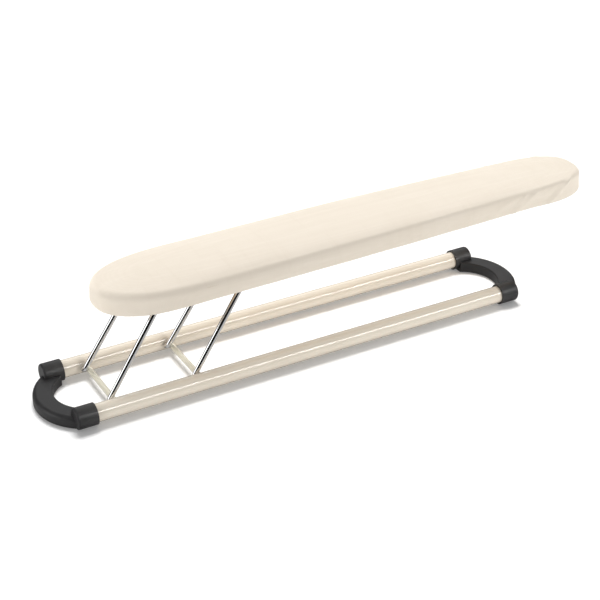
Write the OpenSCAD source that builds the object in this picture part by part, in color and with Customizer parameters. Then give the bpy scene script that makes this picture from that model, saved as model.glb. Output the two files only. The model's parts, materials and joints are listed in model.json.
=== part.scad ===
// Table-top sleeve ironing board: a narrow padded board held over a tube base by two
// bent-wire legs. The legs and the board form a parallelogram that folds over the base.
// X runs along the board towards its narrow nose, -Y is the front, Z = 0 is the table.

/* [Base tubes] */
// Outer diameter of the two base tubes
tube_d = 19.2; // [16:0.2:23]
// Wall thickness of the base tubes
tube_wall = 1.0; // [0.8:0.1:2]
// Distance between the axes of the two base tubes
tube_spacing = 94.4; // [88:0.2:114]
// Length of each tube that shows between the end pieces
tube_show = 493; // [400:1:600]

/* [End pieces] */
// Wall thickness of the sockets that hold the tube ends
socket_wall = 2.05; // [1.5:0.05:3.5]
// Length of a socket from its mouth to its closed end
socket_len = 22; // [18:0.5:30]
// How far a tube goes into its socket
socket_depth = 18.5; // [14:0.5:20]
// Edge rounding of a socket's closed end
socket_edge = 2; // [1:0.5:3]
// Distance from a socket's mouth to the centre of the half-round loop, towards the tubes
loop_centre_in = 13.7; // [6:0.1:20]
// How far the loop's sides stay inside the sockets' sides
loop_tuck = 0.7; // [0.2:0.1:1.5]
// Distance from a socket's mouth to the loop's ends beside it
loop_end_in = 5; // [1:0.5:10]
// Height of the loop above its own underside
loop_height = 12.5; // [9:0.5:14]
// Rounding of the loop's outer top edge
loop_outer_edge = 5; // [2:0.5:6]
// Rounding of the loop's other edges
loop_small_edge = 1.5; // [0.5:0.5:2]

/* [Non-slip pads] */
// Diameter of a pad
pad_d = 12; // [8:0.5:15]
// Thickness of a pad
pad_thick = 2.4; // [1.5:0.1:4]
// How far a pad stands out below the end pieces
pad_proud = 0.6; // [0.3:0.1:1.2]
// Angle of each pad on the loop, from the loop's outermost point
pad_angle = 40; // [20:1:50]

/* [Leg wires] */
// Diameter of the leg wire
wire_d = 5.8; // [4.8:0.1:7]
// Distance from the left socket's mouth to the left leg's lower pivot
left_leg_x = 20.5; // [20:0.5:40]
// Distance between the two legs
leg_pitch = 96; // [80:1:120]
// Horizontal lean of a leg from its lower to its upper pivot
leg_run = 61.9; // [50:0.1:75]
// Height of the upper pivots above the lower ones
leg_rise = 93.3; // [80:0.1:115]
// Gap between a leg and the tube beside it, at the lower pivot
leg_tube_gap = 1.3; // [1.2:0.1:3]
// How far a leg's top reaches out past the inner side of the elastic in the hem above it
leg_past_hem = 0.2; // [-6:0.1:0.8]
// Bend radius of the lower elbows, on the wire's centreline
elbow_bend = 4; // [3.5:0.1:4]
// Bend radius of the upper corners, on the wire's centreline
corner_bend = 7; // [5:0.5:10]
// Length of the wire's end inside the tube
wire_tail = 5; // [3:0.5:8]

/* [Stop bars] */
// Diameter of the bars that join the tubes and stop the legs
bar_d = 6.4; // [5:0.1:6.6]
// Place of the stop's touch along the leg, from the lower pivot
stop_along = 2.1; // [1.8:0.1:6]
// Gap between a leg and its stop bar in use
stop_gap = 0.1; // [0.05:0.05:0.5]

/* [Board] */
// Length of the covered board
board_len = 600; // [500:1:720]
// Distance from the left socket's mouth to the board's left end
board_left_x = 24.6; // [0:0.1:60]
// Half of the board's width where its round left end finishes
half_w_left = 52; // [46:0.5:63]
// Half of the board's width where the nose begins
half_w_nose = 41.8; // [36:0.1:51]
// Length of the round left end
left_end_len = 105; // [80:1:130]
// Length of the nose
nose_len = 80; // [60:1:100]
// How far the long sides bulge
side_bulge = 1.8; // [0:0.1:4]
// Thickness of the wooden panel
panel_thick = 15; // [12:0.5:18]
// Thickness of the foam pad
foam_thick = 6.2; // [4:0.1:8]
// Thickness of the cotton cover
cover_thick = 0.8; // [0.5:0.1:1.2]
// Rounding of the cover over the top edge
top_edge = 6.4; // [4:0.1:8]
// Rounding of the cover under the bottom edge
bottom_edge = 2.6; // [2:0.1:5]
// Width of the hem turned in under the panel
hem_w = 13; // [10:0.5:14]
// Diameter of the elastic cord in the hem
elastic_d = 2.5; // [2:0.1:3]

/* [Pivot saddles] */
// Thickness of the saddles' sheet steel
saddle_thick = 1.5; // [1:0.1:2]
// Width of a saddle along the wire
saddle_w = 12; // [9:0.5:14]
// Length of a saddle's screw ears
saddle_ear = 10; // [8:0.5:12]
// Distance from a saddle's side to the start of the wire's corner bend
saddle_to_corner = 2.1; // [0.5:0.1:6]

/* [Screws] */
// Diameter of the saddle screws
screw_d = 3.5; // [3:0.1:4]
// Length of the saddle screws under the head
screw_len = 12; // [8:0.5:12]
// Diameter of the screws that hold the tubes in the end pieces
end_screw_d = 2.9; // [2.2:0.1:3]
// Length of those screws
end_screw_len = 7; // [5:0.5:8]

/* [Clearances] */
// Radial clearance of the wire in the tubes' holes and in the left leg's saddles
run_clear = 0.06; // [0.02:0.01:0.1]
// Radial clearance of the right leg in its saddles, which leaves that pivot open
open_clear = 0.4; // [0.3:0.05:0.6]
// Radial clearance of a tube in its socket
socket_clear = 0.05; // [0.02:0.01:0.2]
// Clearance around the panel and the pad inside the cover
cover_ease = 0.05; // [0.02:0.01:0.2]
// Radial clearance of a screw in its holes
screw_clear = 0.1; // [0.05:0.05:0.3]
// Clearance around a non-slip pad in its pocket
pad_clear = 0.1; // [0.05:0.05:0.3]

/* [Hidden] */
$fn = 64;

// A little more than touching, for cuts that run out of a face
over = 1;

// Base
half_spacing = tube_spacing / 2;
tube_r = tube_d / 2;
bore_r = tube_r + socket_clear;
socket_r = bore_r + socket_wall;
axis_z = pad_proud + socket_r;
tube_len = tube_show + 2 * socket_depth;
loop_in_r = norm([half_spacing - socket_r, loop_centre_in]) + loop_tuck;
loop_out_r = norm([half_spacing + socket_r, loop_centre_in]) - loop_tuck;
loop_mid_r = (loop_in_r + loop_out_r) / 2;
end_screw_x = socket_depth / 2;
end_head_d = 2 * end_screw_d;
end_head_h = 1.2;

// The board seen from above, with the hem over the legs
left_power = 2.35;
nose_power = 2.7;
mid_len = board_len - left_end_len - nose_len;
nose_x = board_len - nose_len;
nose_slope = (half_w_nose - half_w_left - 4 * side_bulge) / mid_len;
elastic_in = hem_w + elastic_d / 2 + cover_ease;
right_leg_x = left_leg_x + leg_pitch;
leg_xs = [left_leg_x, right_leg_x];
// Half of the board's width at a distance from its left end, as far as the nose
function half_w_at(x) = let (s = (x - left_end_len) / mid_len)
    s < 0 ? half_w_left * pow(1 - pow(1 - x / left_end_len, left_power), 1 / left_power)
    : half_w_left + (half_w_nose - half_w_left) * s + 4 * side_bulge * s * (1 - s);
hem_y = min([for (x = leg_xs) half_w_at(x + leg_run - board_left_x)]) - elastic_in - elastic_d / 2;

// Legs
wire_r = wire_d / 2;
leg_len = norm([leg_run, leg_rise]);
leg_angle = atan2(leg_rise, leg_run);
foot_y = half_spacing - tube_r - wire_r - leg_tube_gap;
top_y = hem_y + leg_past_hem - wire_r;
toe_in = atan2(foot_y - top_y, leg_len);
corner_y = top_y - corner_bend * tan(45 - toe_in / 2);
bend_swell = 0.01;
bend_lap = 0.15;
upper_z = axis_z + leg_rise;
stop_off = wire_r + bar_d / 2 + stop_gap;
bar_dx = stop_along * cos(leg_angle) + stop_off * sin(leg_angle);
bar_dz = stop_along * sin(leg_angle) - stop_off * cos(leg_angle);

// The board seen from the side
panel_z = upper_z + wire_r + open_clear;
under_z = panel_z - cover_thick;
foam_z = panel_z + panel_thick;
top_z = foam_z + foam_thick + cover_thick;
edge_wall = 0.4;
edge_r = min(top_edge, foam_thick + cover_thick - edge_wall);
edge_centre_z = top_z - edge_r;
fill_in = cover_thick + cover_ease;

// Saddles
saddle_y = corner_y - saddle_to_corner - saddle_w / 2;
seat_h = panel_z - upper_z;
head_d = 2 * screw_d;
head_h = 2;

// The origin is under the middle of the whole object
mid_x = (board_left_x + board_len + loop_centre_in - loop_out_r) / 2;

// ---------- outline of the board ----------
end_steps = 10;
mid_steps = 6;
left_end = [for (i = [0:end_steps])
    let (a = 90 * i / end_steps)
    [left_end_len * (1 - pow(cos(a), 2 / left_power)),
     half_w_left * pow(sin(a), 2 / left_power)]];
long_side = [for (i = [1:mid_steps - 1])
    let (x = left_end_len + mid_len * i / mid_steps)
    [x, half_w_at(x)]];
nose = [for (i = [0:end_steps])
    let (a = 90 * i / end_steps, along = nose_len * pow(sin(a), 2 / nose_power))
    [nose_x + along,
     (half_w_nose + nose_slope * along) * pow(max(0, cos(a)), 2 / nose_power)]];
rear_half = concat(left_end, long_side, nose);
front_half = [for (i = [len(rear_half) - 2:-1:1]) [rear_half[i][0], -rear_half[i][1]]];
outline = concat(rear_half, front_half);
ring_n = len(outline);

// The outline moved inwards by a distance
function inset(distance) = [for (i = [0:ring_n - 1])
    let (before = outline[(i + ring_n - 1) % ring_n],
         after = outline[(i + 1) % ring_n],
         along = (after - before) / norm(after - before))
    outline[i] + distance * [along[1], -along[0]]];

// Stations [inset, height] around the board's edge, for a surface that lies depth inside
// the cover's outer face
function lower_edge(depth) = [for (a = [90:-30:0])
    [bottom_edge - (bottom_edge - depth) * cos(a), under_z + bottom_edge
     - (bottom_edge - depth) * sin(a)]];
function upper_edge(depth) = concat([[depth, foam_z]], [for (a = [0:22.5:90])
    [edge_r - (edge_r - depth) * cos(a), edge_centre_z + (edge_r - depth) * sin(a)]]);
function whole_edge(depth) = concat(lower_edge(depth), upper_edge(depth));
function reversed(list) = [for (i = [len(list) - 1:-1:0]) list[i]];

// Solid bounded by one ring of points per station, closed by flat faces at both ends
module ring_solid(stations) {
    rings = len(stations);
    points = [for (s = stations) for (p = inset(s[0])) [board_left_x + p[0], p[1], s[1]]];
    polyhedron(points = points, faces = concat(
        [[for (i = [ring_n - 1:-1:0]) i]],
        [[for (i = [0:ring_n - 1]) (rings - 1) * ring_n + i]],
        ring_faces(rings, false)));
}

// Solid tube that follows the outline, from a closed loop of stations
module ring_tube(stations) {
    points = [for (s = stations) for (p = inset(s[0])) [board_left_x + p[0], p[1], s[1]]];
    polyhedron(points = points, faces = ring_faces(len(stations), true));
}

function ring_faces(rings, joined) = [for (r = [0:joined ? rings - 1 : rings - 2])
    for (i = [0:ring_n - 1]) for (half = [0, 1])
    let (a = r * ring_n + i,
         b = r * ring_n + (i + 1) % ring_n,
         c = ((r + 1) % rings) * ring_n + i,
         d = ((r + 1) % rings) * ring_n + (i + 1) % ring_n)
    half == 0 ? [a, b, d] : [a, d, c]];

// ---------- placing ----------
// Everything is drawn from the left socket's mouth and moved to the object's middle
module placed() {
    translate([-mid_x, 0, 0]) children();
}

// From the left end piece's own place to the right one's, turned about
module at_end(side) {
    if (side == "left") children();
    else translate([tube_show, 0, 0]) mirror([1, 0, 0]) children();
}

// ---------- base ----------
module tube(side) {
    difference() {
        translate([-socket_depth, side * half_spacing, axis_z]) rotate([0, 90, 0])
            difference() {
                cylinder(h = tube_len, d = tube_d);
                translate([0, 0, -over]) cylinder(h = tube_len + 2 * over,
                                                  d = tube_d - 2 * tube_wall);
            }
        for (x = leg_xs) translate([x, side * half_spacing, axis_z])
            rotate([side * 90, 0, 0]) cylinder(h = tube_d, r = wire_r + run_clear);
        for (x = [-end_screw_x, tube_show + end_screw_x])
            translate([x, side * half_spacing, axis_z - tube_d])
                cylinder(h = tube_d, d = end_screw_d + 2 * screw_clear);
    }
}

// Section of the loop, drawn as distance from the loop's centre and height
module loop_section() {
    low = pad_proud;
    high = pad_proud + loop_height;
    small = loop_small_edge;
    big = loop_outer_edge;
    polygon(concat(
        [for (a = [180:15:270]) [loop_in_r + small + small * cos(a), low + small + small * sin(a)]],
        [for (a = [270:15:360]) [loop_out_r - small + small * cos(a), low + small + small * sin(a)]],
        [for (a = [0:10:90]) [loop_out_r - big + big * cos(a), high - big + big * sin(a)]],
        [for (a = [90:15:180]) [loop_in_r + small + small * cos(a), high - small + small * sin(a)]]));
}

// Section of a socket, closed at the end that points to -X
module socket_body() {
    rotate([0, -90, 0]) rotate_extrude() union() {
        square([socket_r, socket_len - socket_edge]);
        square([socket_r - socket_edge, socket_len]);
        translate([socket_r - socket_edge, socket_len - socket_edge])
            circle(r = socket_edge, $fn = 32);
    }
}

// Places of the pads on the left loop
module pad_places() {
    for (s = [-1, 1]) translate([loop_centre_in, 0, 0]) rotate([0, 0, 180 + s * pad_angle])
        translate([loop_mid_r, 0, 0]) children();
}

// Left end piece: two sockets joined by a half-round loop
module end_piece() {
    difference() {
        union() {
            for (s = [-1, 1]) translate([0, s * half_spacing, axis_z]) socket_body();
            intersection() {
                translate([loop_centre_in, 0, 0]) rotate([0, 0, 90])
                    rotate_extrude(angle = 180, $fn = 180) loop_section();
                union() {
                    translate([-2 * loop_out_r, -loop_out_r - over, 0])
                        cube([2 * loop_out_r - socket_len + socket_edge,
                              2 * (loop_out_r + over), 2 * socket_r]);
                    translate([-socket_len, -half_spacing, 0])
                        cube([socket_len - loop_end_in, tube_spacing, 2 * socket_r]);
                }
            }
        }
        for (s = [-1, 1]) translate([0, s * half_spacing, axis_z]) rotate([0, -90, 0])
            translate([0, 0, -over]) cylinder(h = socket_depth + over, r = bore_r);
        pad_places() cylinder(h = pad_thick, d = pad_d + 2 * pad_clear);
        for (s = [-1, 1]) translate([-end_screw_x, s * half_spacing, 0]) {
            cylinder(h = axis_z, d = end_screw_d + 2 * screw_clear);
            cylinder(h = pad_proud + end_head_h, d = end_head_d + 2 * screw_clear);
        }
    }
}

module foot_pads() {
    pad_places() cylinder(h = pad_thick, d = pad_d);
}

// Screws up through an end piece into its tubes, heads sunk in the underside
module end_screws() {
    for (s = [-1, 1]) translate([-end_screw_x, s * half_spacing, pad_proud])
        screw(end_screw_d, end_screw_len, end_head_d, end_head_h);
}

// Screw that points up, its head's face at Z = 0, with a cross recess
module screw(d, length, head, head_height) {
    recess_len = 0.6 * head;
    recess_w = 0.2 * head;
    recess_h = head_height / 2;
    tip_h = d / 2;
    tip_d = d / 4;
    difference() {
        union() {
            cylinder(h = head_height, d = head);
            translate([0, 0, head_height]) cylinder(h = length - tip_h, d = d);
            translate([0, 0, head_height + length - tip_h])
                cylinder(h = tip_h, d1 = d, d2 = tip_d);
        }
        for (a = [0, 90]) rotate([0, 0, a])
            translate([-recess_len / 2, -recess_w / 2, -over])
                cube([recess_len, recess_w, over + recess_h]);
    }
}

// Round bar between the tubes, its ends cut to the tubes' shape and welded on
module stop_bar(x) {
    difference() {
        translate([x + bar_dx, half_spacing, axis_z + bar_dz]) rotate([90, 0, 0])
            cylinder(h = tube_spacing, d = bar_d);
        for (s = [-1, 1]) translate([0, s * half_spacing, axis_z]) rotate([0, 90, 0])
            cylinder(h = tube_show, d = tube_d);
    }
}

// ---------- legs ----------
// Straight stretch of wire, which laps into the bends at its ends
module rod(from, to, lap_from = bend_lap, lap_to = bend_lap) {
    span = to - from;
    translate([from[0], from[1], 0]) rotate([0, 0, atan2(span[1], span[0])])
        rotate([0, 90, 0]) translate([0, 0, -lap_from])
            cylinder(h = norm(span) + lap_from + lap_to, d = wire_d);
}

// Bend in the wire, a trace thicker than the straight wire
module bend(centre, radius, start, sweep) {
    translate([centre[0], centre[1], 0]) rotate([0, 0, start])
        rotate_extrude(angle = sweep, $fn = 128) translate([radius, 0])
            circle(r = wire_r + bend_swell);
}

// One side of a leg in its own plane: across the board along X, up the leg along Y
module leg_half() {
    turn = 90 - toe_in;
    low_t = elbow_bend * tan(turn / 2);
    high_t = corner_bend * tan(turn / 2);
    up = [-sin(toe_in), cos(toe_in)];
    tail_end = half_spacing - tube_r + wire_tail;
    rod([foot_y + low_t, 0], [tail_end, 0], lap_to = 0);
    bend([foot_y + low_t, elbow_bend], elbow_bend, 180 + toe_in, turn);
    rod([foot_y, 0] + low_t * up, [top_y, leg_len] - high_t * up);
    bend([top_y - high_t, leg_len - corner_bend], corner_bend, toe_in, turn);
}

module leg_wire(x) {
    translate([x, 0, axis_z]) rotate([0, 180 - leg_angle, 0]) rotate([0, 0, 90]) {
        leg_half();
        mirror([1, 0, 0]) leg_half();
        rod([-corner_y, leg_len], [corner_y, leg_len]);
    }
}

// ---------- board ----------
// Strap over the wire's upper bar, screwed under the panel
module saddle(x, side, clear) {
    inner = wire_r + clear;
    outer = inner + saddle_thick;
    reach = outer + saddle_ear;
    translate([x + leg_run, side * saddle_y + saddle_w / 2, upper_z]) difference() {
        rotate([90, 0, 0]) linear_extrude(height = saddle_w) difference() {
            union() {
                intersection() {
                    circle(r = outer);
                    translate([-outer, -outer]) square([2 * outer, outer]);
                }
                translate([-outer, 0]) square([2 * outer, seat_h]);
                translate([-reach, seat_h - saddle_thick]) square([2 * reach, saddle_thick]);
            }
            circle(r = inner);
            translate([-inner, 0]) square([2 * inner, seat_h + over]);
        }
        for (s = [-1, 1]) translate([s * (outer + saddle_ear / 2), -saddle_w / 2, 0])
            cylinder(h = seat_h + over, d = screw_d + 2 * screw_clear);
    }
}

// Places of one leg's saddle screws, at the panel's underside
module saddle_screw_places(x, clear) {
    out = wire_r + clear + saddle_thick + saddle_ear / 2;
    for (side = [-1, 1]) for (s = [-1, 1])
        translate([x + leg_run + s * out, side * saddle_y, panel_z]) children();
}

module saddle_screws(x, clear) {
    saddle_screw_places(x, clear) translate([0, 0, -saddle_thick - head_h])
        screw(screw_d, screw_len, head_d, head_h);
}

module panel() {
    difference() {
        ring_solid(concat(lower_edge(fill_in), [[fill_in, foam_z]]));
        for (leg = [[left_leg_x, run_clear], [right_leg_x, open_clear]])
            saddle_screw_places(leg[0], leg[1]) translate([0, 0, -over])
                cylinder(h = screw_len + over, d = screw_d + 2 * screw_clear);
    }
}

module foam() {
    ring_solid([for (s = upper_edge(fill_in)) [s[0], s[1] + cover_ease / 2]]);
}

module cover() {
    ring_solid(concat(
        reversed(whole_edge(cover_thick)),
        [[hem_w, panel_z], [hem_w, under_z]],
        whole_edge(0)));
}

// Elastic cord in the hem's inner edge
module elastic() {
    r = elastic_d / 2;
    ring_tube([for (a = [0:45:315])
        [elastic_in + r * cos(a), panel_z - r - cover_ease - r * sin(a)]]);
}

module front_tube() { color([0.91, 0.87, 0.79]) placed() tube(-1); }
module rear_tube() { color([0.91, 0.87, 0.79]) placed() tube(1); }
module left_end_piece() { color([0.2, 0.2, 0.2]) placed() at_end("left") end_piece(); }
module right_end_piece() { color([0.2, 0.2, 0.2]) placed() at_end("right") end_piece(); }
module left_end_screws() { color("silver") placed() at_end("left") end_screws(); }
module right_end_screws() { color("silver") placed() at_end("right") end_screws(); }
module left_foot_pads() { color([0.3, 0.3, 0.3]) placed() at_end("left") foot_pads(); }
module right_foot_pads() { color([0.3, 0.3, 0.3]) placed() at_end("right") foot_pads(); }
module left_stop_bar() { color([0.91, 0.87, 0.79]) placed() stop_bar(left_leg_x); }
module right_stop_bar() { color([0.91, 0.87, 0.79]) placed() stop_bar(right_leg_x); }
module left_leg_wire() { color([0.8, 0.82, 0.84]) placed() leg_wire(left_leg_x); }
module right_leg_wire() { color([0.8, 0.82, 0.84]) placed() leg_wire(right_leg_x); }
module left_front_saddle() { color("silver") placed() saddle(left_leg_x, -1, run_clear); }
module left_rear_saddle() { color("silver") placed() saddle(left_leg_x, 1, run_clear); }
module right_front_saddle() { color("silver") placed() saddle(right_leg_x, -1, open_clear); }
module right_rear_saddle() { color("silver") placed() saddle(right_leg_x, 1, open_clear); }
module left_saddle_screws() { color("gray") placed() saddle_screws(left_leg_x, run_clear); }
module right_saddle_screws() { color("gray") placed() saddle_screws(right_leg_x, open_clear); }
module board_panel() { color("burlywood") placed() panel(); }
module foam_pad() { color("khaki") placed() foam(); }
module cotton_cover() { color([0.97, 0.94, 0.88]) placed() cover(); }
module hem_elastic() { color("white") placed() elastic(); }

front_tube();
rear_tube();
left_end_piece();
right_end_piece();
left_end_screws();
right_end_screws();
left_foot_pads();
right_foot_pads();
left_stop_bar();
right_stop_bar();
left_leg_wire();
right_leg_wire();
left_front_saddle();
left_rear_saddle();
right_front_saddle();
right_rear_saddle();
left_saddle_screws();
right_saddle_screws();
board_panel();
foam_pad();
cotton_cover();
hem_elastic();
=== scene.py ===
import json
import math
import random

import bmesh
import bpy
import numpy as np
from mathutils import Matrix, Vector

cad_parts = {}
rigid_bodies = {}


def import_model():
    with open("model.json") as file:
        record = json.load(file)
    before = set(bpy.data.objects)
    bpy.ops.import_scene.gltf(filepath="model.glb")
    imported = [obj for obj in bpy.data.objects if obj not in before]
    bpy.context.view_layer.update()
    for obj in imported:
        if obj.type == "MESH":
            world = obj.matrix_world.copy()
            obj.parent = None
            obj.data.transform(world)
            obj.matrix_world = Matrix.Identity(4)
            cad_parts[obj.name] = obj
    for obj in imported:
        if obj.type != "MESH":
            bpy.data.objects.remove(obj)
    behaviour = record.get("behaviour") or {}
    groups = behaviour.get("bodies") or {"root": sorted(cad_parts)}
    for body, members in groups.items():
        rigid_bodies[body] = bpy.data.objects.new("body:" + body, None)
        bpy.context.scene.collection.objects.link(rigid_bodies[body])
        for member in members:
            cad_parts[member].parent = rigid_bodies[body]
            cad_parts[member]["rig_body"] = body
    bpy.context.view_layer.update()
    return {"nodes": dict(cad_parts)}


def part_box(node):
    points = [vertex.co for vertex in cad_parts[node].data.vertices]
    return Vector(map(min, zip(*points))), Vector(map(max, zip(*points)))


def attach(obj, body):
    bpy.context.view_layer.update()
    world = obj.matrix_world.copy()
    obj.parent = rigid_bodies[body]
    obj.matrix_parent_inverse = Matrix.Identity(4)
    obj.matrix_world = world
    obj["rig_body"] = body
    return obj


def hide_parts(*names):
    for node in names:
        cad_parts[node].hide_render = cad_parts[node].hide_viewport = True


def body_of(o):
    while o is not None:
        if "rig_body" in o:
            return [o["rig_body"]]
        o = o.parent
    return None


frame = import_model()

# A table-top sleeve ironing board. Lengths are in metres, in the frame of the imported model:
# X runs along the board to its nose, -Y is the front and Z = 0 is the table.
MM = 0.001

cover_low, cover_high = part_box("cotton_cover")
panel_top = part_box("board_panel")[1].z
elastic_low, elastic_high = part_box("hem_elastic")

# ---------- the board's outline, seen from above: two rounded ends and slightly bulging sides ----------
BOARD_X = cover_low.x
BOARD_LEN = cover_high.x - cover_low.x
LEFT_LEN = 105 * MM
NOSE_LEN = 80 * MM
HALF_LEFT = cover_high.y
HALF_NOSE = 41.8 * MM
BULGE = 1.8 * MM
LEFT_POWER = 2.35
NOSE_POWER = 2.7
MID_LEN = BOARD_LEN - LEFT_LEN - NOSE_LEN
NOSE_SLOPE = (HALF_NOSE - HALF_LEFT - 4 * BULGE) / MID_LEN

# ---------- the edge of the board, from below to above ----------
UNDER_Z = cover_low.z
TOP_Z = cover_high.z
COVER_THICK = 0.7 * MM
BOTTOM_EDGE = 2.6 * MM
HEM_W = 13 * MM
ELASTIC_D = elastic_high.z - elastic_low.z
ELASTIC_IN = elastic_low.x - BOARD_X + ELASTIC_D / 2
ELASTIC_Z = (elastic_low.z + elastic_high.z) / 2
# The top edge's radius. Over the stretch SOFTENING it grows, and its top drops, towards the left end.
NOSE_EDGE = 6.0 * MM
LEFT_EDGE = 9.6 * MM
LEFT_DROP = 1.0 * MM
SOFTENING = (120 * MM, 330 * MM)
# The middle of the top stands above the CAD's flat top.
CROWN = 1.8 * MM


def half_outline(count=1500):
    """Points from the left tip to the nose tip along the rear side, measured from the left tip."""
    a = np.linspace(0, math.pi / 2, count)
    left = np.stack([LEFT_LEN * (1 - np.cos(a) ** (2 / LEFT_POWER)),
                     HALF_LEFT * np.sin(a) ** (2 / LEFT_POWER)], axis=1)
    s = np.linspace(0, 1, count)[1:-1]
    middle = np.stack([LEFT_LEN + MID_LEN * s,
                       HALF_LEFT + (HALF_NOSE - HALF_LEFT) * s + 4 * BULGE * s * (1 - s)], axis=1)
    along = NOSE_LEN * np.sin(a) ** (2 / NOSE_POWER)
    width = (HALF_NOSE + NOSE_SLOPE * along) * np.clip(np.cos(a), 0, 1) ** (2 / NOSE_POWER)
    nose = np.stack([BOARD_LEN - NOSE_LEN + along, width], axis=1)
    return np.concatenate([left, middle, nose])


def outline(count):
    """Evenly spaced points around the whole outline, their outward normals, how far round each one
    is, and the length all round."""
    rear = half_outline()
    front = rear[-2:0:-1] * (1, -1)
    loop = np.concatenate([rear, front, rear[:1]])
    arc = np.concatenate([[0], np.cumsum(np.linalg.norm(np.diff(loop, axis=0), axis=1))])
    places = np.arange(count) * arc[-1] / count
    points = np.stack([np.interp(places, arc, loop[:, k]) for k in (0, 1)], axis=1)
    tangent = np.roll(points, -2, axis=0) - np.roll(points, 2, axis=0)
    tangent /= np.linalg.norm(tangent, axis=1)[:, None]
    normal = np.stack([-tangent[:, 1], tangent[:, 0]], axis=1)
    return points, normal, places, arc[-1]


def smooth(value, low, high):
    """0 below low, 1 above high, and a smooth step between."""
    t = np.clip((value - low) / (high - low), 0, 1)
    return t * t * (3 - 2 * t)


# ---------- small helpers ----------
def new_object(name, mesh, material):
    """A smooth-shaded object that wears one material."""
    piece = bpy.data.objects.new(name, mesh)
    bpy.context.scene.collection.objects.link(piece)
    mesh.materials.append(material)
    for face in mesh.polygons:
        face.use_smooth = True
    return piece


def mesh_from(name, points, faces):
    """A mesh of points, in rows, and faces that name them by number."""
    mesh = bpy.data.meshes.new(name)
    mesh.from_pydata([tuple(p) for p in points], [], faces)
    mesh.validate()
    mesh.update()
    return mesh


def ring_faces(rings, count, joined=False):
    """Quads between rings of points that go round the outline. A joined set ends where it began."""
    faces = []
    for r in range(rings if joined else rings - 1):
        below = r * count
        above = (r + 1) % rings * count
        for i in range(count):
            j = (i + 1) % count
            faces.append((below + i, below + j, above + j, above + i))
    return faces


def apply_modifiers(piece):
    """Bakes a piece's modifiers into its mesh."""
    depsgraph = bpy.context.evaluated_depsgraph_get()
    done = bpy.data.meshes.new_from_object(piece.evaluated_get(depsgraph))
    piece.modifiers.clear()
    piece.data = done


def read_points(mesh, key):
    """One vector of every point of a mesh, such as its place (co), as rows."""
    values = np.empty(3 * len(mesh.vertices))
    mesh.vertices.foreach_get(key, values)
    return values.reshape(-1, 3)


def move_points(mesh, places):
    """Puts every point of a mesh in its new place."""
    mesh.vertices.foreach_set("co", places.ravel())
    mesh.update()


# ---------- node trees ----------
class Nodes:
    """Short calls for building a node tree."""

    def __init__(self, tree):
        self.tree = tree
        tree.nodes.clear()

    def add(self, kind, **values):
        node = self.tree.nodes.new(kind)
        for key, value in values.items():
            setattr(node, key, value)
        return node

    def link(self, source, target):
        self.tree.links.new(source, target)

    def put(self, socket, value):
        """Links a socket to another node's output, or sets it to a number or a colour."""
        if isinstance(value, bpy.types.NodeSocket):
            self.link(value, socket)
        else:
            socket.default_value = value

    def math(self, kind, a, b=0.0):
        node = self.add("ShaderNodeMath", operation=kind)
        self.put(node.inputs[0], a)
        self.put(node.inputs[1], b)
        return node.outputs[0]

    def product(self, first, *others):
        """All the values multiplied together."""
        for other in others:
            first = self.math("MULTIPLY", first, other)
        return first

    def total(self, first, *others):
        """All the values added together."""
        for other in others:
            first = self.math("ADD", first, other)
        return first

    def spread(self, value, low, high, start, end, **kind):
        """start where value is low, end where it is high, and a slope between."""
        node = self.add("ShaderNodeMapRange", **kind)
        self.link(value, node.inputs["Value"])
        for key, number in (("From Min", low), ("From Max", high), ("To Min", start), ("To Max", end)):
            node.inputs[key].default_value = number
        return node.outputs[0]

    def band(self, value, centre, half_width, soft):
        """1 where value is near centre, 0 elsewhere, with soft edges."""
        off = self.math("ABSOLUTE", self.math("SUBTRACT", value, centre))
        return self.spread(off, half_width, half_width + soft, 1.0, 0.0, interpolation_type="SMOOTHSTEP")

    def choose(self, share, a, b):
        """The number a where share is 0, and b where it is 1."""
        node = self.add("ShaderNodeMix", data_type="FLOAT")
        for socket, value in ((node.inputs[0], share), (node.inputs[2], a), (node.inputs[3], b)):
            self.put(socket, value)
        return node.outputs[0]


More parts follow.
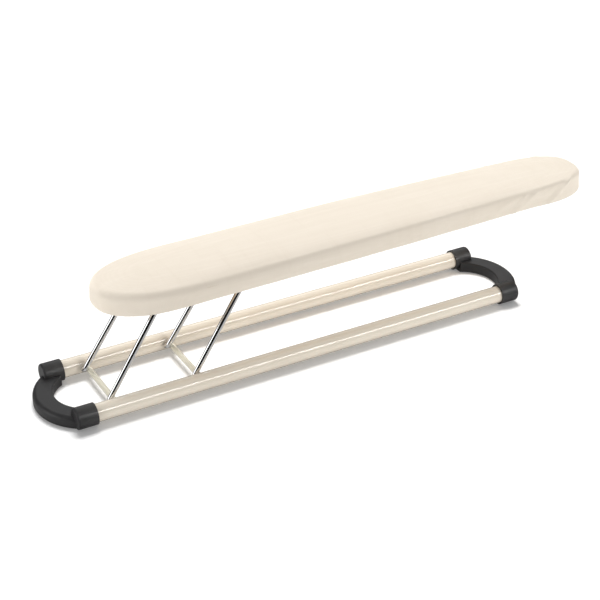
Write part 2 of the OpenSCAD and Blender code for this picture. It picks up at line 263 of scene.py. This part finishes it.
class Material(Nodes):
    """A material of one principled shader, whose textures keep to the object's own axes."""

    def __init__(self, name):
        self.material = bpy.data.materials.new(name)
        self.material.use_nodes = True
        super().__init__(self.material.node_tree)
        self.output = self.add("ShaderNodeOutputMaterial")
        self.shader = self.add("ShaderNodeBsdfPrincipled")
        self.link(self.shader.outputs[0], self.output.inputs["Surface"])
        self.place = self.add("ShaderNodeTexCoord").outputs["Object"]

    def set(self, **values):
        """Sets the shader's inputs by their names, with _ for each space."""
        for key, value in values.items():
            self.put(self.shader.inputs[key.replace("_", " ")], value)

    def scaled(self, scale):
        """The place, stretched differently along each axis."""
        node = self.add("ShaderNodeMapping")
        self.link(self.place, node.inputs["Vector"])
        node.inputs["Scale"].default_value = scale
        return node.outputs[0]

    def noise(self, scale, detail=3.0, rough=0.5, place=None):
        node = self.add("ShaderNodeTexNoise")
        self.link(place or self.place, node.inputs["Vector"])
        node.inputs["Scale"].default_value = scale
        node.inputs["Detail"].default_value = detail
        node.inputs["Roughness"].default_value = rough
        return node.outputs["Fac"]

    def cells(self, scale, output="Distance"):
        node = self.add("ShaderNodeTexVoronoi")
        self.link(self.place, node.inputs["Vector"])
        node.inputs["Scale"].default_value = scale
        return node.outputs[output]

    def wave(self, axis, scale, distortion):
        node = self.add("ShaderNodeTexWave", bands_direction=axis)
        self.link(self.place, node.inputs["Vector"])
        node.inputs["Scale"].default_value = scale
        node.inputs["Distortion"].default_value = distortion
        node.inputs["Detail"].default_value = 1.0
        return node.outputs["Fac"]

    def ramp(self, value, low, high, start, end):
        """A colour that goes from start, at low, to end, at high."""
        node = self.add("ShaderNodeValToRGB")
        self.link(value, node.inputs[0])
        for element, place, colour in zip(node.color_ramp.elements, (low, high), (start, end)):
            element.position = place
            element.color = (*colour, 1)
        return node.outputs[0]

    def mix(self, factor, a, b):
        """The colour a where factor is 0, and b where it is 1."""
        node = self.add("ShaderNodeMix", data_type="RGBA")
        self.put(node.inputs[0], factor)
        for socket, value in ((node.inputs[6], a), (node.inputs[7], b)):
            self.put(socket, value if isinstance(value, bpy.types.NodeSocket) else (*value, 1))
        return node.outputs[2]

    def bump(self, height, depth, strength=1.0, under=None):
        """A bump of a real depth in metres, on top of another one."""
        node = self.add("ShaderNodeBump")
        self.link(height, node.inputs["Height"])
        node.inputs["Distance"].default_value = depth
        node.inputs["Strength"].default_value = strength
        if under is not None:
            self.link(under, node.inputs["Normal"])
        self.link(node.outputs[0], self.shader.inputs["Normal"])
        return node.outputs[0]


# ---------- materials ----------
def enamel(name, dark, light):
    """Cream stove enamel on steel: slightly wavy, with fine specks."""
    n = Material(name)
    tint = n.ramp(n.noise(18, 4), 0.3, 0.7, dark, light)
    specks = n.spread(n.cells(900), 0.0, 0.09, 1.0, 0.0)
    n.set(Base_Color=n.mix(n.product(specks, 0.12), tint, (0.5, 0.44, 0.36)),
          Roughness=n.spread(n.noise(60, 3), 0.3, 0.7, 0.20, 0.27),
          Coat_Weight=0.7, Coat_Roughness=0.06)
    n.bump(n.noise(160, 2), 0.01 * MM)
    return n.material


def moulded_plastic():
    """Charcoal moulding with a fine spark-eroded grain, lighter on its sharp edges: partly rubbing wear,
    partly a painted edge highlight.
    """
    n = Material("charcoal_plastic")
    cloud = n.noise(55, 5, 0.6)
    base = n.ramp(cloud, 0.3, 0.72, (0.014, 0.014, 0.0145), (0.022, 0.0215, 0.022))
    grain = n.noise(1900, 2, 0.6)
    flecks = n.spread(grain, 0.55, 0.75, 0.0, 0.35)
    # Pointiness lightens the sharp outer edges: part rubbing wear, part painted highlight.
    edge_wear_and_highlight = n.spread(n.add("ShaderNodeNewGeometry").outputs["Pointiness"], 0.52, 0.62, 0.0, 0.35)
    worn_and_highlit = n.mix(edge_wear_and_highlight, n.mix(flecks, base, (0.045, 0.044, 0.045)), (0.08, 0.078, 0.076))
    n.set(Base_Color=worn_and_highlit, Roughness=n.spread(cloud, 0.3, 0.7, 0.38, 0.48), Specular_IOR_Level=0.4)
    n.bump(grain, 0.05 * MM, 0.6, n.bump(n.noise(130, 3), 0.05 * MM, 0.6))
    return n.material


def pad_rubber():
    """Matt dark rubber with a fine dimple."""
    n = Material("pad_rubber")
    n.set(Base_Color=n.ramp(n.noise(400, 4), 0.3, 0.7, (0.05, 0.05, 0.052), (0.085, 0.083, 0.082)),
          Roughness=n.spread(n.noise(900, 2), 0.3, 0.7, 0.75, 0.92))
    n.bump(n.cells(1400), 0.08 * MM, 0.7)
    return n.material


def chrome():
    """Bright plating with faint drawing lines and handling marks."""
    n = Material("wire_chrome")
    smear = n.noise(90, 4)
    n.set(Base_Color=n.ramp(smear, 0.3, 0.7, (0.82, 0.82, 0.83), (0.90, 0.90, 0.91)),
          Metallic=1.0, Roughness=n.spread(smear, 0.35, 0.75, 0.015, 0.04))
    n.bump(n.noise(500, 2), 0.001 * MM, 0.5)
    return n.material


def zinc(name, dark, light, rough):
    """Zinc-plated steel with a soft spangle."""
    n = Material(name)
    spangle = n.cells(260, output="Color")
    grey = n.add("ShaderNodeRGBToBW")
    n.link(spangle, grey.inputs[0])
    n.set(Base_Color=n.ramp(grey.outputs[0], 0.2, 0.8, dark, light), Metallic=1.0,
          Roughness=n.spread(n.noise(300, 4), 0.3, 0.7, rough, rough + 0.16))
    n.bump(n.noise(1100, 3), 0.02 * MM, 0.6)
    return n.material


def fibreboard():
    """Raw medium-density board: pressed fibres with a few dark ones."""
    n = Material("fibreboard")
    fibres = n.noise(380, 6, 0.7, n.scaled((0.35, 1.0, 1.0)))
    cloud = n.noise(25, 4)
    colour = n.mix(cloud, n.ramp(fibres, 0.3, 0.7, (0.30, 0.19, 0.10), (0.50, 0.35, 0.21)),
                   n.ramp(fibres, 0.35, 0.65, (0.36, 0.24, 0.13), (0.55, 0.40, 0.25)))
    n.set(Base_Color=colour, Roughness=0.82)
    n.bump(fibres, 0.12 * MM, 0.7)
    return n.material


def foam_cells():
    """Open-cell foam, darker in its pores: painted shade."""
    n = Material("open_cell_foam")
    cell = n.cells(1100)
    # The pores, sunk by the bump, are painted darker: painted shade.
    n.set(Base_Color=n.ramp(cell, 0.1, 0.6, (0.62, 0.55, 0.36), (0.83, 0.77, 0.58)), Roughness=0.95)
    n.bump(cell, 0.25 * MM)
    return n.material


def cotton():
    """Natural plain-weave cotton: threads both ways with painted shade between them, slubs, and a soft
    nap.
    """
    n = Material("natural_cotton")
    threads = n.total(*(n.wave(axis, 620, 0.35) for axis in "XYZ"))
    slubs = n.noise(70, 3, 0.55, n.scaled((0.16, 2.6, 2.6)))
    cross = n.noise(60, 3, 0.55, n.scaled((2.8, 0.18, 0.4)))
    cloud = n.noise(14, 5, 0.6)
    base = n.ramp(cloud, 0.3, 0.7, (0.640, 0.576, 0.488), (0.660, 0.597, 0.512))
    light = n.mix(n.spread(slubs, 0.52, 0.72, 0.0, 0.4), base, (0.70, 0.64, 0.56))
    dark = n.mix(n.spread(cross, 0.56, 0.74, 0.0, 0.25), light, (0.60, 0.53, 0.44))
    # Darker between the threads, where the bump sinks: painted shade.
    weave = n.mix(n.spread(threads, 0.6, 2.4, 0.10, 0.0), dark, (0.50, 0.43, 0.35))
    n.set(Base_Color=weave, Roughness=n.spread(threads, 0.4, 2.6, 0.92, 0.80),
          Sheen_Weight=0.12, Sheen_Roughness=0.5)
    n.bump(threads, 0.06 * MM, 0.5, n.bump(slubs, 0.18 * MM, 0.5, n.bump(n.noise(34, 4), 0.5 * MM, 0.35)))
    return n.material


def braid():
    """Braided elastic: strands that cross, lighter on their tops and darker between them: painted shade.
    """
    n = Material("braided_elastic")
    strands = n.total(*(n.wave(axis, 420, 0.6) for axis in "XY"))
    # Colour follows the strands' height: painted shade in the hollows between them.
    n.set(Base_Color=n.ramp(strands, 0.35, 1.4, (0.55, 0.52, 0.46), (0.86, 0.84, 0.78)), Roughness=0.7,
          Sheen_Weight=0.1)
    n.bump(strands, 0.15 * MM, 0.8)
    return n.material


ENAMEL = enamel("cream_enamel", (0.655, 0.590, 0.495), (0.685, 0.622, 0.527))
# The stop bars wear the tubes' cream enamel made darker: painted shade.
BAR_ENAMEL_PAINTED_SHADE = enamel("bar_enamel", (0.540, 0.515, 0.420), (0.580, 0.550, 0.455))
PLASTIC = moulded_plastic()
RUBBER = pad_rubber()
CHROME = chrome()
SADDLE_ZINC = zinc("saddle_zinc", (0.50, 0.51, 0.52), (0.66, 0.67, 0.68), 0.28)
SCREW_ZINC = zinc("screw_zinc", (0.46, 0.46, 0.46), (0.62, 0.62, 0.60), 0.22)
WOOD = fibreboard()
FOAM = foam_cells()
COTTON = cotton()
BRAID = braid()

CAD_MATERIALS = {
    "front_tube": ENAMEL, "rear_tube": ENAMEL,
    "left_stop_bar": BAR_ENAMEL_PAINTED_SHADE, "right_stop_bar": BAR_ENAMEL_PAINTED_SHADE,
    "left_end_piece": PLASTIC, "right_end_piece": PLASTIC,
    "left_end_screws": SCREW_ZINC, "right_end_screws": SCREW_ZINC,
    "left_foot_pads": RUBBER, "right_foot_pads": RUBBER,
    "left_leg_wire": CHROME, "right_leg_wire": CHROME,
    "left_front_saddle": SADDLE_ZINC, "left_rear_saddle": SADDLE_ZINC,
    "right_front_saddle": SADDLE_ZINC, "right_rear_saddle": SADDLE_ZINC,
    "left_saddle_screws": SCREW_ZINC, "right_saddle_screws": SCREW_ZINC,
    "board_panel": WOOD, "foam_pad": FOAM, "cotton_cover": COTTON, "hem_elastic": BRAID}


def dress_cad_nodes():
    for name, material in CAD_MATERIALS.items():
        for slot in frame["nodes"][name].material_slots:
            slot.material = material


# ---------- the cover's mesh: rings that run round the outline ----------
AROUND = 560
HEM_RINGS = 7
TOP_RINGS = 16
# The line along the board on which the top closes, from the left tip and from the nose.
SPINE_START = 62 * MM
SPINE_END = 46 * MM
# The hem's tunnel curls round the elastic through these angles, this far off it. The hem's flat
# stops this short of its whole width.
TUNNEL_ANGLES = np.radians(np.linspace(35, -110, 7))
TUNNEL_GAP = 0.75 * MM
HEM_SHORT = 1.2 * MM

# ---------- the cloth's unevenness ----------
# The elastic's gathers pucker the hem and the foot of the edge, and longer waves make them wander.
# On the edge both fade out upwards.
HEM_PUCKER = 0.45 * MM
HEM_WANDER = 0.5 * MM
EDGE_PUCKER = 0.22 * MM
EDGE_WANDER = 0.25 * MM
PUCKER_REACH = 4 * MM
# The hem sags at both ends, and swings outwards by half as much. The sag fades out up the edge, and
# along the board over these two stretches.
SAG = 2.6 * MM
SAG_VARIES = 0.15
SAG_REACH = 7 * MM
LEFT_SAG = (40 * MM, 120 * MM)
NOSE_SAG = (BOARD_LEN - 95 * MM, BOARD_LEN - 30 * MM)
# The pad's swelling is strongest SWELL_UP over the edge and fades out both ways.
SWELL = 0.25 * MM
SWELL_UP = 14 * MM
SWELL_REACH = 16 * MM

# ---------- the cloth simulation ----------
SETTLE_FRAMES = 20
SETTLE_CAP = 2.5 * MM
# The hem's hold fades out upwards over HELD_UP. Spare cloth, a share of LOOSENESS, comes in over
# LOOSE_OUT, measured from the board's middle line, and LOOSE_ALONG, measured from its left tip.
HELD_UP = (0.3 * MM, 3 * MM)
LOOSE_OUT = (12 * MM, 34 * MM)
LOOSE_ALONG = (BOARD_LEN - 190 * MM, BOARD_LEN - 90 * MM)
LOOSENESS = 0.03


def top_edge():
    """Radius and height of the rounded top edge round the outline: softer towards the left end."""
    soft = 1 - smooth(outline(AROUND)[0][:, 0], *SOFTENING)
    return NOSE_EDGE + (LEFT_EDGE - NOSE_EDGE) * soft, TOP_Z - LEFT_DROP * soft


def top_arc(depth, first, count=10):
    """[inset, height] of the rounded top edge, from the angle first up, this deep inside the cover."""
    radius, top = top_edge()
    angles = [first + (math.pi / 2 - first) * t for t in np.linspace(0, 1, count)]
    return [(radius - (radius - depth) * np.cos(a), top - radius + (radius - depth) * np.sin(a))
            for a in angles]


def edge_stations():
    """[inset, height] from the bottom edge's underside, up the wall, to the end of the top edge."""
    low = [(BOTTOM_EDGE * (1 - math.cos(a)), UNDER_Z + BOTTOM_EDGE * (1 - math.sin(a)))
           for a in np.radians(np.linspace(90, 0, 5))]
    high = top_arc(0.0, 0.0)
    wall = [(0.0, low[-1][1] * (1 - t) + high[0][1] * t) for t in np.linspace(0, 1, 6)[1:-1]]
    return low + wall + high


def spine_points(points):
    """For each outline point, its nearest place on the line that the top closes on."""
    spine = np.zeros_like(points)
    spine[:, 0] = np.clip(points[:, 0], SPINE_START, BOARD_LEN - SPINE_END)
    return spine


def skin(stations):
    """Rings round the board through the stations, then over the crowned top to the spine."""
    points, normal, places, length = outline(AROUND)
    rings = [np.column_stack([points - np.reshape(inset, (-1, 1)) * normal,
                              np.broadcast_to(z, AROUND)]) for inset, z in stations]
    rim = rings[-1]
    spine = spine_points(points)
    lift = TOP_Z + CROWN - top_edge()[1]
    for k in range(1, TOP_RINGS + 1):
        t = k / TOP_RINGS
        flat = rim[:, :2] * (1 - t) + spine * t
        rings.append(np.column_stack([flat, rim[:, 2] + lift * (1 - (1 - t) ** 2)]))
    return np.array(rings), normal, places, length


def hem_stations():
    """[inset, height] of the hem, from the tunnel's loose edge to the bottom edge."""
    tunnel_r = ELASTIC_D / 2 + TUNNEL_GAP
    curl = [(ELASTIC_IN + tunnel_r * math.cos(a), ELASTIC_Z + tunnel_r * math.sin(a))
            for a in TUNNEL_ANGLES]
    flat = [(inset, UNDER_Z) for inset in np.linspace(HEM_W - HEM_SHORT, BOTTOM_EDGE, HEM_RINGS)[:-1]]
    return curl + flat


# Folds that the pull of the hem raises beside the nose, in mm: how far behind the nose's tip one
# starts, its lean (forwards for each mm up), half width, lower and upper end on the side, and rise.
# A hollow between two folds has a rise below 0.
FOLD_REACH = 3 * MM
SIDE_FOLDS = [
    (65, 1.65, 3.2, 2, 20, 2.0), (78, 1.5, 4.5, 3, 18, -0.9), (94, 1.6, 6.0, 4, 18, -0.6),
    (115, 0.9, 2.0, 11, 21, 1.0), (120, 1.1, 2.0, 8, 17, 0.9), (116, 1.75, 4.6, 3, 18, 1.9),
    (136, 1.8, 5.0, 4, 16, -0.8), (156, 2.0, 5.0, 4, 15, 0.9), (205, 2.4, 6.0, 4, 13, 0.6)]


def folds(behind_tip, height):
    """Sum of the side's folds, in metres."""
    total = np.zeros_like(height)
    for back, slope, width, low, high, rise in SIDE_FOLDS:
        across = back * MM - behind_tip - slope * height
        ridge = np.exp(-(across / (width * MM)) ** 2)
        begins = smooth(height, low * MM - FOLD_REACH, low * MM)
        ends = 1 - smooth(height, high * MM, high * MM + FOLD_REACH)
        total += rise * MM * ridge * begins * ends
    return total


def wavelets(places, length, seed, shortest, longest, count):
    """Smooth unevenness round the outline that closes on itself, from about -1 to 1: count waves,
    each between shortest and longest."""
    draw = random.Random(seed)
    value = np.zeros_like(places)
    for _ in range(count):
        turns = round(length / draw.uniform(shortest, longest))
        value += draw.uniform(0.5, 1.0) * np.sin(2 * math.pi * turns * places / length
                                                + draw.uniform(0, 2 * math.pi))
    return value / (0.6 * count)


def gather_hem(rings, hem_count, edge_count, outward, pucker, wide):
    """The elastic gathers the hem: it puckers downwards, most at its inner edge, and the foot of
    the edge puckers outwards."""
    for r in range(hem_count):
        share = 1 - r / hem_count
        rings[r, :, 2] -= share * HEM_PUCKER * (1 + pucker)
        rings[r] += outward * (share * HEM_WANDER * wide)[:, None]
    for r in range(hem_count, edge_count):
        share = np.exp((UNDER_Z - rings[r, :, 2]) / PUCKER_REACH)
        rings[r] += outward * ((EDGE_PUCKER * pucker + EDGE_WANDER * wide) * share)[:, None]


def sag_ends(rings, hem_count, edge_count, outward, wide):
    """The hem hangs a little lower and fuller round both ends, where its cloth bunches."""
    for r in range(edge_count):
        x = rings[r, :, 0]
        up = np.maximum(rings[r, :, 2] - UNDER_Z, 0)
        share = r / hem_count if r < hem_count else np.exp(-(up / SAG_REACH) ** 2)
        ends = 1 - smooth(x, *LEFT_SAG) + smooth(x, *NOSE_SAG)
        drop = SAG * share * ends * (1 - SAG_VARIES + SAG_VARIES * wide)
        rings[r, :, 2] -= drop
        rings[r] += outward * (0.5 * drop)[:, None]


def swell_pad(rings, hem_count, edge_count, outward, swell):
    """The padding swells more in some places than in others, outwards on the side and upwards on
    the top. Returns how far each point lies from the bottom edge, up the side and over the top."""
    ups = np.zeros(rings.shape[:2])
    rim = rings[edge_count - 1]
    for r in range(hem_count, len(rings)):
        ring = rings[r]
        if r < edge_count:
            ups[r] = ring[:, 2] - UNDER_Z
            push = outward
        else:
            ups[r] = rim[:, 2] - UNDER_Z + np.linalg.norm(ring[:, :2] - rim[:, :2], axis=1)
            push = np.array([0, 0, 1])
        fade = np.exp(-((ups[r] - SWELL_UP) / SWELL_REACH) ** 2)
        ring += push * (SWELL * swell * fade)[:, None]
    return ups


def make_cover():
    """The cotton cover: one cloth from the hem's tunnel round the edge and over the top."""
    stations = hem_stations() + edge_stations()
    rings, normal, places, length = skin(stations)
    counts = (len(hem_stations()), len(stations))
    outward = np.column_stack([normal, np.zeros(AROUND)])
    pucker = wavelets(places, length, seed=11, shortest=7 * MM, longest=13 * MM, count=7)
    wide = wavelets(places, length, seed=12, shortest=60 * MM, longest=160 * MM, count=5)
    swell = wavelets(places, length, seed=13, shortest=90 * MM, longest=220 * MM, count=5)
    gather_hem(rings, *counts, outward, pucker, wide)
    sag_ends(rings, *counts, outward, wide)
    ups = swell_pad(rings, *counts, outward, swell)

    mesh = mesh_from("cover_mesh", rings.reshape(-1, 3) + (BOARD_X, 0, 0), ring_faces(len(rings), AROUND))
    cover = new_object("cover", mesh, COTTON)
    mesh.attributes.new("up", "FLOAT", "POINT").data.foreach_set("value", ups.ravel())
    weld(mesh)
    settle(cover)
    raise_folds(mesh)
    thick = cover.modifiers.new("cloth", "SOLIDIFY")
    thick.thickness = COVER_THICK
    thick.offset = -1
    finer = cover.modifiers.new("finer", "SUBSURF")
    finer.levels = finer.render_levels = 1
    apply_modifiers(cover)
    return cover


def raise_folds(mesh):
    """Folds beside the nose, on both sides, raised along the cloth's own normals."""
    place, normal = read_points(mesh, "co"), read_points(mesh, "normal")
    up = np.empty(len(place))
    mesh.attributes["up"].data.foreach_get("value", up)
    mesh.attributes.remove(mesh.attributes["up"])
    rise = np.where(up > 0, folds(BOARD_X + BOARD_LEN - place[:, 0], up), 0)
    move_points(mesh, place + normal * rise[:, None])


def add_cloth(cover, places):
    """Cloth that is held at the hem and pressed outwards by the pad. Beside the nose there is a
    little more of it than the shape needs."""
    held = cover.vertex_groups.new(name="held")
    loose = cover.vertex_groups.new(name="loose")
    for i, (x, y, z) in enumerate(places):
        held.add([i], float(1 - smooth(z - UNDER_Z, *HELD_UP)), "REPLACE")
        spare = smooth(abs(y), *LOOSE_OUT) * smooth(x - BOARD_X, *LOOSE_ALONG)
        loose.add([i], float(spare), "REPLACE")
    cloth = cover.modifiers.new("settle", "CLOTH")
    cloth.point_cache.frame_start = 1
    cloth.point_cache.frame_end = SETTLE_FRAMES
    cloth.collision_settings.use_collision = False
    values = cloth.settings
    values.quality = 6
    values.mass = 0.2
    values.tension_stiffness = values.compression_stiffness = 20
    values.shear_stiffness = 8
    values.bending_stiffness = 0.4
    values.vertex_group_mass = held.name
    values.vertex_group_shrink = loose.name
    values.shrink_min = 0.0
    values.shrink_max = -LOOSENESS
    values.use_pressure = True
    values.uniform_pressure_force = 0.8
    values.effector_weights.gravity = 0.0


def settle(cover):
    """Runs the cloth simulation and keeps its result: no point moves over the cap, or inwards
    into the pad."""
    mesh = cover.data
    start, normals = read_points(mesh, "co"), read_points(mesh, "normal")
    add_cloth(cover, start)
    scene = bpy.context.scene
    for frame_number in range(1, SETTLE_FRAMES + 1):
        scene.frame_set(frame_number)
    settled = cover.evaluated_get(bpy.context.evaluated_depsgraph_get()).data
    shift = read_points(settled, "co") - start
    cover.modifiers.clear()
    cover.vertex_groups.clear()
    scene.frame_set(1)
    size = np.linalg.norm(shift, axis=1)
    shift *= np.minimum(1, SETTLE_CAP / np.maximum(size, 1e-9))[:, None]
    inward = np.minimum(np.sum(shift * normals, axis=1), 0)
    move_points(mesh, start + shift - normals * inward[:, None])


def weld(mesh):
    """Joins the points that meet on the spine and turns all faces outwards."""
    bm = bmesh.new()
    bm.from_mesh(mesh)
    bmesh.ops.remove_doubles(bm, verts=bm.verts, dist=0.02 * MM)
    bmesh.ops.recalc_face_normals(bm, faces=bm.faces)
    bm.to_mesh(mesh)
    bm.free()
    for face in mesh.polygons:
        face.use_smooth = True


# ---------- the pad and the elastic ----------
# Room between pad and cover. The cord is a little thinner than the CAD's and wavers sideways.
PAD_GAP = 0.15 * MM
CORD_SIDES = 14
CORD_SHARE = 0.94
CORD_SLACK = 0.15 * MM


def make_foam():
    """The pad under the cover, its top crowned and its edge rounded."""
    depth = COVER_THICK + PAD_GAP
    radius, top = top_edge()
    arc = top_arc(depth, np.arcsin(np.clip((panel_top - top + radius) / (radius - depth), 0, 1)))
    rings = skin([(arc[0][0], panel_top)] + arc)[0]
    rings[:, :, 2] -= PAD_GAP
    rings[0, :, 2] = panel_top
    bottom = rings[0].copy()
    spine = np.column_stack([spine_points(bottom[:, :2]), np.full(AROUND, panel_top)])
    lower = [spine * (1 - t) + bottom * t for t in (0.0, 0.35, 0.7)]
    rings = np.concatenate([np.array(lower), rings])
    mesh = mesh_from("foam_mesh", rings.reshape(-1, 3) + (BOARD_X, 0, 0), ring_faces(len(rings), AROUND))
    foam = new_object("foam_layer", mesh, FOAM)
    weld(mesh)
    return foam


def make_elastic():
    """Elastic cord that runs round in the hem, a little slack between its gathers."""
    points, normal, places, length = outline(AROUND)
    slack = wavelets(places, length, seed=21, shortest=25 * MM, longest=60 * MM, count=6)
    radius = CORD_SHARE * ELASTIC_D / 2
    rings = []
    for a in np.linspace(0, 2 * math.pi, CORD_SIDES, endpoint=False):
        inset = ELASTIC_IN + radius * math.cos(a) + CORD_SLACK * slack
        z = ELASTIC_Z - radius * math.sin(a)
        rings.append(np.column_stack([points - inset[:, None] * normal, np.full(AROUND, z)]))
    mesh = mesh_from("elastic_mesh", np.concatenate(rings) + (BOARD_X, 0, 0),
                     ring_faces(CORD_SIDES, AROUND, joined=True))
    elastic = new_object("elastic_cord", mesh, BRAID)
    weld(mesh)
    return elastic


# ---------- the table ----------
TABLE_SIZE = 12.0
TABLE_CUTS = 24
TABLE_Z = -0.2 * MM
# The table's own light grows with the distance from the object, until it is as white as the backdrop.
NEAR = 0.5
FAR = 2.2
NEAR_GLOW = 0.2
FAR_GLOW = 0.95
# In reflections only a dimmed band of it is there, which fades out in front of and behind the object.
BAND_SHARE = 0.4
BAND_FRONT = (-0.45, -0.27)
BAND_BACK = (0.13, 0.18)
UNSEEN_LIGHT = 0.01


def pale_table():
    """White table with a little light of its own, as on a light table."""
    n = Material("pale_floor")
    distance = n.add("ShaderNodeVectorMath", operation="LENGTH")
    n.link(n.place, distance.inputs[0])
    n.set(Base_Color=n.ramp(n.noise(3, 2), 0.0, 1.0, (0.80, 0.80, 0.80), (0.82, 0.82, 0.815)),
          Roughness=0.9, Specular_IOR_Level=0.1, Emission_Color=(1, 1, 1, 1),
          Emission_Strength=n.spread(distance.outputs["Value"], NEAR, FAR, NEAR_GLOW, FAR_GLOW))
    axes = n.add("ShaderNodeSeparateXYZ")
    n.link(n.place, axes.inputs[0])
    y = axes.outputs[1]
    seen = n.product(n.spread(y, *BAND_BACK, BAND_SHARE, 0.0), n.spread(y, *BAND_FRONT, 0.0, 1.0))
    shiny = n.add("ShaderNodeLightPath").outputs["Is Glossy Ray"]
    black = n.add("ShaderNodeEmission")
    black.inputs["Strength"].default_value = UNSEEN_LIGHT
    both = n.add("ShaderNodeMixShader")
    n.link(n.product(shiny, n.math("SUBTRACT", 1.0, seen)), both.inputs[0])
    n.link(n.shader.outputs[0], both.inputs[1])
    n.link(black.outputs[0], both.inputs[2])
    n.link(both.outputs[0], n.output.inputs["Surface"])
    return n.material


def make_floor():
    """The table, a square of small squares."""
    side = TABLE_CUTS + 1
    steps = np.linspace(-TABLE_SIZE / 2, TABLE_SIZE / 2, side)
    points = [(x, y, TABLE_Z) for y in steps for x in steps]
    corners = [j * side + i for j in range(TABLE_CUTS) for i in range(TABLE_CUTS)]
    faces = [(c, c + 1, c + side + 1, c + side) for c in corners]
    floor = new_object("floor", mesh_from("floor_mesh", points, faces), pale_table())
    return floor


# ---------- the room ----------
BACKDROP = 1.25
# Light that matt surfaces get from all round, and more of it from above.
ROOM_LIGHT = 0.22
SKY_LIGHT = 0.22
# What shiny surfaces reflect: a dark room with a narrow strip high in front on the right, softboxes
# on the left and behind on the right, and a bright ceiling.
DARK_ROOM = 0.01
STRIP_LIGHT = 20.0
LEFT_LIGHT = 2.4
REAR_LIGHT = 1.4
CEILING_LIGHT = 0.7


def make_world():
    """White backdrop for the camera, soft light for matt surfaces and softboxes for shiny ones."""
    world = bpy.data.worlds.new("studio")
    bpy.context.scene.world = world
    world.use_nodes = True
    n = Nodes(world.node_tree)
    way = n.add("ShaderNodeSeparateXYZ")
    n.link(n.add("ShaderNodeTexCoord").outputs["Generated"], way.inputs[0])
    x, y, z = way.outputs
    ahead = n.math("MULTIPLY", y, -1.0)

    def sector(a, b, middle, half_width, soft):
        """A band of the angle whose tangent is a over b, in degrees."""
        return n.band(n.math("ARCTAN2", a, b), *(math.radians(v) for v in (middle, half_width, soft)))

    strip = n.product(sector(z, ahead, 38, 2, 3), STRIP_LIGHT, n.band(x, 0.6, 0.5, 0.1))
    left_box = n.product(sector(x, ahead, -107, 17, 7), n.band(z, 0.3, 0.25, 0.1), LEFT_LIGHT)
    rear_box = n.product(sector(x, ahead, 150, 22, 8), n.band(z, 0.5, 0.15, 0.1), REAR_LIGHT)
    ceiling = n.product(n.band(z, 1.0, 0.12, 0.1), CEILING_LIGHT)
    shiny = n.total(strip, left_box, rear_box, ceiling, DARK_ROOM)
    matt = n.total(n.product(n.math("MAXIMUM", z, 0.0), SKY_LIGHT), ROOM_LIGHT)
    rays = n.add("ShaderNodeLightPath")
    around = n.choose(rays.outputs["Is Glossy Ray"], matt, shiny)
    background = n.add("ShaderNodeBackground")
    n.link(n.choose(rays.outputs["Is Camera Ray"], around, BACKDROP), background.inputs["Strength"])
    n.link(background.outputs[0], n.add("ShaderNodeOutputWorld").inputs[0])


# ---------- lamps and camera ----------
def make_light(name, place, target, size, power, shines_on, shadows_of=None):
    """A rectangular lamp that shines on one group only. Another group, or else every piece, casts
    shadows in it."""
    data = bpy.data.lights.new(name, "AREA")
    data.shape = "RECTANGLE"
    data.size, data.size_y = size
    data.energy = power
    lamp = bpy.data.objects.new(name, data)
    bpy.context.scene.collection.objects.link(lamp)
    lamp.location = place
    lamp.rotation_euler = (Vector(target) - Vector(place)).to_track_quat("-Z", "Y").to_euler()
    lamp.visible_glossy = False
    lamp.light_linking.receiver_collection = shines_on
    lamp.light_linking.blocker_collection = shadows_of


def group(name, pieces):
    collection = bpy.data.collections.new(name)
    for piece in pieces:
        collection.objects.link(piece)
    return collection


def make_lights(floor):
    """The key and two fills light only the object. The table has a key of its own, in which only
    the base casts a shadow, so the table stays white under the board."""
    pieces = [o for o in bpy.context.scene.objects if o.type == "MESH" and o != floor]
    base = [o for o in pieces if "base" in (body_of(o) or [])]
    only_pieces = group("only_pieces", pieces)
    only_table = group("only_table", [floor])
    base_and_table = group("base_and_table", base + [floor])
    make_light("key", (0.15, 1.35, 1.55), (0, 0, 0.05), (1.0, 0.8), 50, only_pieces)
    make_light("table_key", (0.2, 0.8, 1.9), (0, 0, 0), (1.0, 0.8), 52, only_table, base_and_table)
    make_light("front_fill", (1.2, -1.3, 0.75), (0.1, 0, 0.1), (1.0, 0.8), 23, only_pieces)
    make_light("left_fill", (-1.8, -0.1, 0.45), (0, 0, 0.1), (0.9, 0.9), 21, only_pieces)


# Yaw turns the view from +Y towards +X, pitch tips it down, and roll turns it about itself.
CAMERA_PLACE = (-0.7151, -1.2564, 0.8703)
CAMERA_TURNS = (28.69, 29.91, 0.35)
CAMERA_LENS = 90.8
SENSOR_WIDTH = 36.0


def make_camera():
    """The photo's camera: it looks down at the board from the front left."""
    yaw, pitch, roll = (math.radians(a) for a in CAMERA_TURNS)
    right = Vector((math.cos(yaw), -math.sin(yaw), 0))
    forward = Vector((math.sin(yaw) * math.cos(pitch), math.cos(yaw) * math.cos(pitch),
                      -math.sin(pitch)))
    down = forward.cross(right)
    across = right * math.cos(roll) + down * math.sin(roll)
    downward = down * math.cos(roll) - right * math.sin(roll)
    data = bpy.data.cameras.new("camera")
    data.lens = CAMERA_LENS
    data.sensor_width = SENSOR_WIDTH
    camera = bpy.data.objects.new("camera", data)
    bpy.context.scene.collection.objects.link(camera)
    axes = Matrix((across, -downward, -forward)).transposed().to_4x4()
    axes.translation = Vector(CAMERA_PLACE)
    camera.matrix_world = axes
    bpy.context.scene.camera = camera


make_camera()
floor = make_floor()
make_world()
bpy.context.scene.view_settings.view_transform = "Standard"

dress_cad_nodes()

cover = make_cover()
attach(cover, "board")
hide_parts("cotton_cover")

foam = make_foam()
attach(foam, "board")
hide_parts("foam_pad")

elastic = make_elastic()
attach(elastic, "board")
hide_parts("hem_elastic")

# The length all round the board's outline.
perimeter = outline(AROUND)[3]

make_lights(floor)
